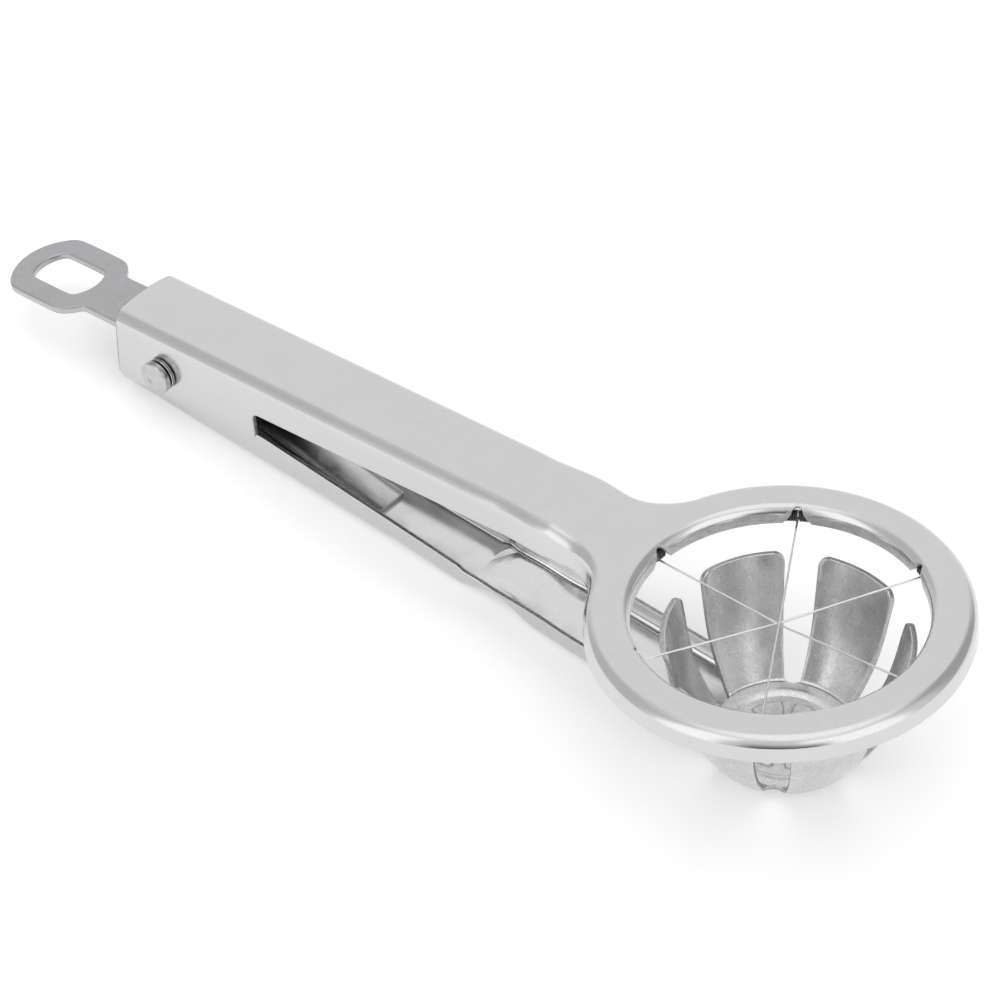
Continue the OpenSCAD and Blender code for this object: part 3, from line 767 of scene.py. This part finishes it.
def make_pads():
    """six raised pads on the base, each with a low skirt; skirt and sides are painted dark as the shade along the
    pads' outlines
    """
    pads = bmesh.new()
    for k in range(6):
        ring = pad_outline(math.radians(60 * k + 30))
        wide = widened(ring, SKIRT)
        loops = [[pads.verts.new(on_cup((x, y, CUP_T + h))) for x, y in points]
                 for points, h in ((wide, PAD_SUNK), (wide, SKIRT_H), (ring, SKIRT_H), (ring, PAD_H))]
        pads.faces.new(loops[3]).material_index = 0
        # sunk bottom, skirt and sides take the second slot: painted shade along each pad's outline
        pads.faces.new(list(reversed(loops[0]))).material_index = 1
        for low, high in zip(loops, loops[1:]):
            for i in range(len(ring)):
                j = (i + 1) % len(ring)
                pads.faces.new((low[i], low[j], high[j], high[i])).material_index = 1
    me = bpy.data.meshes.new("cup_pads")
    pads.to_mesh(me)
    pads.free()
    po = new_object("cup_pads", me)
    coat(po, pad_steel, edge)
    soften(po, 0.09, 40)
    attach(po, "lower")


# ------------------------------------------------------------------ hinge pin and washer
# heads: inner face, thickness, radius
PIN_R, NEAR_HEAD, FAR_HEAD = 1.9, (9.45, 1.45, 3.42), (8.77, 1.15, 3.5)
SHAFT_ENDS = (-9.0, 8.7)
WASHER_R, WASHER_IN, WASHER_OUT, WASHER_EDGE = 3.32, 8.68, 9.0, 0.06
# the short mark struck in the near head's face: x and z of both ends, depth, width of its dent and of its dull ground
MARK, MARK_DEPTH, MARK_W, MARK_DULL, MARK_FACE = (-1.4, -1.0, -0.9, -1.2), 0.2, 0.26, 0.28, -10
# the painted gap shade covers faces turned to the near side within this radius of the axis and past this distance
# along Y
GAP_SHADE_R, GAP_SHADE_Y = 2.8, -9.4


def turned_piece(name, profile, y_sign, materials, steps=72, change=None):
    """revolves (radius, distance along Y) round the pin's axis; the second material, near-black painted shade, goes on
    the shaft and on faces turned to the near side close round it, where the gap between head and washer lies in shade;
    a third one on the struck mark"""
    skin = Skin()
    rows = []
    for i in range(steps):
        a = 2 * math.pi * i / steps
        row = [(r * math.cos(a), y_sign * y, r * math.sin(a)) for r, y in profile]
        rows.append([change(p) for p in row] if change else row)
    skin.grid(rows, closed=True)

    def place(p):
        return ((PIN[0] + p[0]) * MM, p[1] * MM, (PIN[2] + p[2]) * MM)
    mid = profile[len(profile) // 2]
    ob = new_object(name, skin.mesh(name, place, (place((mid[0], y_sign * mid[1], 0)), (1, 0, 0))))
    coat(ob, *materials)
    smooth(ob)
    for p in ob.data.polygons:
        x, y, z = (c / MM - at for c, at in zip(p.center, PIN))
        reach = math.hypot(x, z)
        # the shaft and the near faces close round it take the painted gap shade
        shaft = reach < PIN_R + 0.05 and abs(p.normal.y) < 0.3
        front = y > GAP_SHADE_Y and p.normal.y < -0.7 and reach < GAP_SHADE_R
        if shaft or front:
            p.material_index = 1
        if len(materials) > 2 and y < MARK_FACE and to_mark(x, z) < MARK_DULL:
            p.material_index = 2
    ob.data.set_sharp_from_angle(angle=math.radians(50))
    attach(ob, "lower")
    return ob


def head(y0, t, r, back=0.2, front=0.3):
    """flat pin head: inner face, thickness and radius, and the roundings of its two edges"""
    pts = [(PIN_R, y0), (r - back, y0), (r - 0.3 * back, y0 + 0.3 * back), (r, y0 + back), (r, y0 + t - front)]
    for i in range(1, 8):
        a = math.pi / 2 * i / 7
        pts.append((r - front + front * math.cos(a), y0 + t - front + front * math.sin(a)))
    return pts + [(q, y0 + t) for q in spread(r - 0.4, 0.002, 20)]


def to_mark(x, z):
    """distance to the struck mark's line"""
    ax, az, bx, bz = MARK
    t = min(1, max(0, ((x - ax) * (bx - ax) + (z - az) * (bz - az)) / ((bx - ax) ** 2 + (bz - az) ** 2)))
    return math.hypot(x - lerp(ax, bx, t), z - lerp(az, bz, t))


def dent(p):
    """presses the mark into the near head's face"""
    x, y, z = p
    return (x, y + MARK_DEPTH * math.exp(-(to_mark(x, z) / MARK_W) ** 2), z) if y < MARK_FACE else p


def make_pin():
    profile = [(r, -y) for r, y in reversed(head(*NEAR_HEAD))]
    profile += [(PIN_R, y) for y in SHAFT_ENDS] + head(*FAR_HEAD)
    ob = turned_piece("hinge_pin_turned", profile, 1, (turned, gap_shade, edge), change=dent)
    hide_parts("hinge_pin")
    r, low, high, c = WASHER_R, WASHER_IN, WASHER_OUT, WASHER_EDGE
    ring = [(BORE_R, low), (r - c, low), (r, low + c), (r, high - c), (r - c, high), (BORE_R, high), (BORE_R, low)]
    wo = turned_piece("pin_washer_turned", ring, -1, (turned, gap_shade))
    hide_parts("pin_washer")


# ------------------------------------------------------------------ lock tab
# the eye's middle, its outer radius and flats, the hole's radius and flats; half width of the shank; the plate
EYE_X, EYE_R, EYE_H, EYE_HOLE, EYE_FLAT, SHANK, TAB_T, TAB_Z = -34.2, 11.9, 9.8, 7.35, 4.75, 6.05, 1.6, 3.3
SHANK_FROM = EYE_X + 4
# how square the corners are where round and flat meet: eye, hole, and shank
EYE_CORNER, HOLE_CORNER, SHANK_CORNER = 26, 18, 16
LUG_REAR, LUG_FRONT, LUG_T, LUG_LOW, LUG_ROOT, FORK_X = 2.02, 6.52, 1.2, -3.0, 0.4, -5.5


def round_flat(a, r, half, power):
    """radius at angle a of a circle cut by two flats, with eased corners"""
    return (r ** -power + (half / max(1e-6, abs(math.sin(a)))) ** -power) ** (-1 / power)


def eye_outline():
    """half the tab's outline on the far side, from the eye's rear round to the lugs and back to the fork's root"""
    pts = []
    for a in spread(math.pi, 0.02, 60):
        r = round_flat(a, EYE_R, EYE_H, EYE_CORNER)
        x, y = EYE_X + r * math.cos(a), r * math.sin(a)
        if x > SHANK_FROM:
            y = (y ** SHANK_CORNER + SHANK ** SHANK_CORNER) ** (1 / SHANK_CORNER)
        pts.append((x, y))
    pts += [(x, SHANK) for x in (-16, -8, LUG_REAR, LUG_FRONT)]
    return pts + [(x, SHANK - LUG_T) for x in (LUG_FRONT, FORK_X)]


def make_tab():
    half = eye_outline()
    outline = half + [(x, -y) for x, y in reversed(half[1:])]
    hole = []
    for a in spread(0, 2 * math.pi, 96)[:-1]:
        r = round_flat(a, EYE_HOLE, EYE_FLAT, HOLE_CORNER)
        hole.append((EYE_X + r * math.cos(a), r * math.sin(a)))
    bm = bmesh.new()
    edges = []
    for loop in (outline, hole):
        vs = [bm.verts.new(on_upper((x, y, TAB_Z))) for x, y in loop]
        edges += [bm.edges.new((vs[i], vs[(i + 1) % len(vs)])) for i in range(len(vs))]
    bmesh.ops.triangle_fill(bm, use_beauty=True, use_dissolve=True, edges=edges)
    up = Vector(on_upper((0, 0, TAB_T))) - Vector(on_upper((0, 0, 0)))
    out = bmesh.ops.extrude_face_region(bm, geom=bm.faces[:])
    bmesh.ops.translate(bm, vec=up, verts=[v for v in out["geom"] if isinstance(v, bmesh.types.BMVert)])
    bmesh.ops.recalc_face_normals(bm, faces=bm.faces)
    # lugs turned down in front of the pin
    for side in (-1, 1):
        ys = sorted((side * SHANK, side * (SHANK - LUG_T)))
        block = [(x, y, z) for x in (LUG_REAR, LUG_FRONT) for y in ys for z in (LUG_LOW, TAB_Z + LUG_ROOT)]
        v = [bm.verts.new(on_upper(p)) for p in block]
        for f in ((0, 1, 3, 2), (4, 6, 7, 5), (0, 4, 5, 1), (2, 3, 7, 6), (0, 2, 6, 4), (1, 5, 7, 3)):
            bm.faces.new([v[i] for i in f])
    bmesh.ops.recalc_face_normals(bm, faces=bm.faces)
    me = bpy.data.meshes.new("lock_tab_plate")
    bm.to_mesh(me)
    bm.free()
    ob = new_object("lock_tab_plate", me)
    coat(ob, tumbled, burnished)
    for p in ob.data.polygons:
        if abs(p.normal.z) < 0.5:
            p.material_index = 1
    soften(ob, 0.38, 40, 4)
    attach(ob, "tab")
    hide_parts("lock_tab")


# ------------------------------------------------------------------ leaf spring
# the coil's inner radius, the strip, the legs' reach from the pin, and the gaps left to the arms
SPRING_R, SPRING_T, SPRING_HALF = 2.0, 0.9, 3.8
LOWER_LEG, UPPER_LEG, LOWER_GAP, UPPER_GAP = 52.0, 42, 0.02, 0.05


def make_spring():
    outer = SPRING_R + SPRING_T
    # where both legs end, x and z from the pin, and the angles at which they leave the coil
    low_end = (LOWER_LEG, SHEET - PIN[2] + LOWER_GAP)
    low_a = math.atan2(low_end[1], low_end[0]) + math.asin(outer / math.hypot(*low_end))
    c, s = math.cos(OPEN), math.sin(OPEN)
    rise = TOP - SHEET - UPPER_GAP
    top_end = (UPPER_LEG * c - rise * s, UPPER_LEG * s + rise * c)
    top_a = math.atan2(top_end[1], top_end[0]) - math.asin(outer / math.hypot(*top_end))
    coil = []
    for p in spread(0, 1, 30):
        a = lerp(low_a - math.pi / 2, top_a + math.pi / 2 - 2 * math.pi, p)
        coil.append((outer * math.cos(a), outer * math.sin(a)))
    first, last = coil[0], coil[-1]
    dense = [(lerp(low_end[0], first[0], k), lerp(low_end[1], first[1], k)) for k in spread(0, 1, 24)[:-1]]
    dense += coil
    dense += [(lerp(last[0], top_end[0], k), lerp(last[1], top_end[1], k)) for k in spread(0, 1, 20)[1:]]
    skin = Skin()
    skin.grid([[(x, y, z + PIN[2]) for y in spread(-SPRING_HALF, SPRING_HALF, 4)] for x, z in dense])
    me = skin.mesh("leaf_spring_strip", on_lower, (on_lower((30, 0, lerp(low_end[1], 0, 0.4) + PIN[2])), (0, 0, -1)))
    ob = new_object("leaf_spring_strip", me)
    coat(ob, rolled)
    thicken(ob, SPRING_T, 0)
    settle(ob)
    b = ob.modifiers.new("edges", "BEVEL")
    b.width, b.segments, b.limit_method, b.angle_limit = 0.1 * MM, 2, "ANGLE", math.radians(50)
    settle(ob)
    smooth(ob)
    ob.data.set_sharp_from_angle(angle=math.radians(40))
    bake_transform(ob)
    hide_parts("leaf_spring")


# ------------------------------------------------------------------ hoop with the wires' ends wound round it, near black as painted shade
# radius and height of the hoop, and the radii of its own rod and of a wire
HOOP_R, HOOP_Z, HOOP_T, WIRE_T = HOLE_R + SHEET + 1.2, RING_Z - 3.2, 0.5, 0.2
# coils on both sides of each wire's end: how many, their radius, their pitch in wire radii, and how low they hang
COILS, COIL_R, COIL_PITCH, COIL_DROP = 5, 0.94, 2.15, 0.2


def make_hoop():
    skin = Skin()

    def tube(turns, sides, reach, thick, place):
        """a ring of radius reach, turned into shape by place(radius, angle, height)"""
        rows = []
        for i in range(turns):
            a = 2 * math.pi * i / turns
            row = []
            for k in range(sides + 1):
                b = 2 * math.pi * k / sides
                row.append(place(reach + thick * math.cos(b), a, thick * math.sin(b)))
            rows.append(row)
        skin.grid(rows, closed=True)

    tube(120, 12, HOOP_R, HOOP_T, lambda r, a, h: (RING_X + r * math.cos(a), r * math.sin(a), HOOP_Z + h))
    for end in range(6):
        for k in (*range(-COILS, 0), *range(1, COILS + 1)):
            turn = math.radians(60 * end) + k * COIL_PITCH * WIRE_T / HOOP_R
            ct, st = math.cos(turn), math.sin(turn)

            def coil(r, a, h, ct=ct, st=st):
                out = HOOP_R + r * math.cos(a)
                return (RING_X + out * ct - h * st, out * st + h * ct, HOOP_Z - COIL_DROP + r * math.sin(a))
            tube(20, 8, COIL_R, WIRE_T, coil)
    top = on_upper((RING_X + HOOP_R * math.cos(0.5), HOOP_R * math.sin(0.5), HOOP_Z + HOOP_T))
    ob = new_object("wire_hoop_wound", skin.mesh("wire_hoop_wound", on_upper, (top, (0, 0, 1))))
    # near-black painted shade where the notches look into the dark under the ring
    coat(ob, wire_painted_shade)
    smooth(ob)
    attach(ob, "upper")
    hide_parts("wire_hoop")


make_upper()
make_lower()
make_cup()
make_pads()
make_pin()
make_tab()
make_spring()
make_hoop()

for node in ("wire_1", "wire_2", "wire_3"):
    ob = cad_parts[node]
    ob.data.materials.clear()
    coat(ob, wire)
    for s in ob.material_slots:
        s.material = wire

# ------------------------------------------------------------------ floor, light, camera
floor_mesh = bpy.data.meshes.new("floor")
fb = bmesh.new()
bmesh.ops.create_grid(fb, x_segments=8, y_segments=8, size=3.0)
fb.to_mesh(floor_mesh)
fb.free()
floor = new_object("floor", floor_mesh)
floor.location.z = -0.0001
floor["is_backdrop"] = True
# the floor glows a little, and more where it is seen directly, mirrored or through something
GLOW, GLOW_SEEN = 0.12, 0.14
paint = bpy.data.materials.new("floor_paint")
n = Nodes(paint)
out = n.add("ShaderNodeOutputMaterial")
diffuse = n.add("ShaderNodeBsdfDiffuse", Color=(0.9, 0.9, 0.9, 1))
glow = n.add("ShaderNodeEmission", Color=(1, 1, 1, 1))
path = n.add("ShaderNodeLightPath")
seen = n.add("ShaderNodeMath", operation="MAXIMUM")
n.link(path, "Is Camera Ray", seen, 0)
n.link(path, "Is Glossy Ray", seen, 1)
seen_too = n.add("ShaderNodeMath", operation="MAXIMUM")
n.link(seen, "Value", seen_too, 0)
n.link(path, "Is Transmission Ray", seen_too, 1)
power = n.add("ShaderNodeMath", operation="MULTIPLY_ADD")
power.inputs[1].default_value = GLOW_SEEN
power.inputs[2].default_value = GLOW
n.link(seen_too, "Value", power, 0)
n.link(power, "Value", glow, "Strength")
both = n.add("ShaderNodeAddShader")
n.link(diffuse, 0, both, 0)
n.link(glow, 0, both, 1)
n.link(both, 0, out, "Surface")
coat(floor, paint)

world = bpy.data.worlds.new("studio")
bpy.context.scene.world = world
w = Nodes(world)


def calc(op, a, b=0.0):
    """a math node in the world's tree, fed by sockets or numbers"""
    m = w.add("ShaderNodeMath", operation=op)
    for i, v in enumerate((a, b)):
        if isinstance(v, bpy.types.NodeSocket):
            w.tree.links.new(v, m.inputs[i])
        else:
            m.inputs[i].default_value = v
    return m.outputs[0]


def step(value, low, high):
    """0 below low, 1 above high, soft between"""
    m = w.add("ShaderNodeMapRange", interpolation_type="SMOOTHSTEP", clamp=True, From_Min=low, From_Max=high)
    w.tree.links.new(value, m.inputs["Value"])
    return m.outputs["Result"]


def sine(degrees):
    return math.sin(math.radians(max(-90, min(90, degrees))))


def cosine(degrees):
    return math.cos(math.radians(degrees))


# an even sky that is brighter overhead, between two elevations
SKY, OVERHEAD, OVERHEAD_LOW, OVERHEAD_HIGH = 0.85, 0.48, 55, 78
# soft boxes and dark flags round the table: azimuth, half width, softness, low and high edge, softness, brightness;
# a low edge of -90 is no edge
STUDIO = [
    (120, 45, 30, -90, 65, 12, 0.98),
    (65, 22, 26, 2, 58, 12, 0.50),
    (200, 28, 20, -30, 50, 14, 0.68),
    (345, 30, 10, -5, 56, 9, 1.45),
    (256, 17, 9, -1, 58, 9, 1.48),
    (308, 21, 12, -60, 27, 36, 0.14),
]
w_co = w.add("ShaderNodeTexCoord")
w_xyz = w.add("ShaderNodeSeparateXYZ")
w.link(w_co, "Generated", w_xyz, "Vector")
dx, dy, dz = (w_xyz.outputs[k] for k in "XYZ")
flat = calc("SQRT", calc("ADD", calc("MULTIPLY", dx, dx), calc("MULTIPLY", dy, dy)))
light = calc("ADD", SKY, calc("MULTIPLY", step(dz, sine(OVERHEAD_LOW), sine(OVERHEAD_HIGH)), OVERHEAD))
for az, half, soft, low, high, fade, value in STUDIO:
    turn = calc("ADD", calc("MULTIPLY", dx, cosine(az)), calc("MULTIPLY", dy, math.sin(math.radians(az))))
    turn = calc("DIVIDE", turn, flat)
    weight = step(turn, cosine(half + soft / 2), cosine(max(0, half - soft / 2)))
    if low > -90:
        weight = calc("MULTIPLY", weight, step(dz, sine(low - fade / 2), sine(low + fade / 2)))
    top = step(dz, sine(high - fade / 2), sine(high + fade / 2))
    weight = calc("MULTIPLY", weight, calc("SUBTRACT", 1.0, top))
    light = calc("ADD", light, calc("MULTIPLY", weight, calc("SUBTRACT", value, light)))
w_light = w.add("ShaderNodeBackground", Color=(1, 1, 1, 1))
w.tree.links.new(light, w_light.inputs["Strength"])
w_out = w.add("ShaderNodeOutputWorld")
w.link(w_light, "Background", w_out, "Surface")

LENS, SENSOR, CLIP, CAMERA_AT = 117.75, 36.0, 0.01, (0.29749, -0.33182, 0.43071)
cam_data = bpy.data.cameras.new("camera")
cam_data.lens = LENS
cam_data.sensor_width = SENSOR
cam_data.clip_start = CLIP
cam = new_object("camera", cam_data)
right, up, back = Vector((0.7607, 0.6490, 0)), Vector((-0.4454, 0.5221, 0.7272)), Vector((0.4720, -0.5533, 0.6863))
cam.matrix_world = Matrix.Translation(CAMERA_AT) @ Matrix((right, up, back)).transposed().to_4x4()
bpy.context.scene.camera = cam
bpy.context.scene.view_settings.view_transform = "Standard"

low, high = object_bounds()
{"cad": [list(cad_low), list(cad_high)], "visual": [list(low), list(high)]}
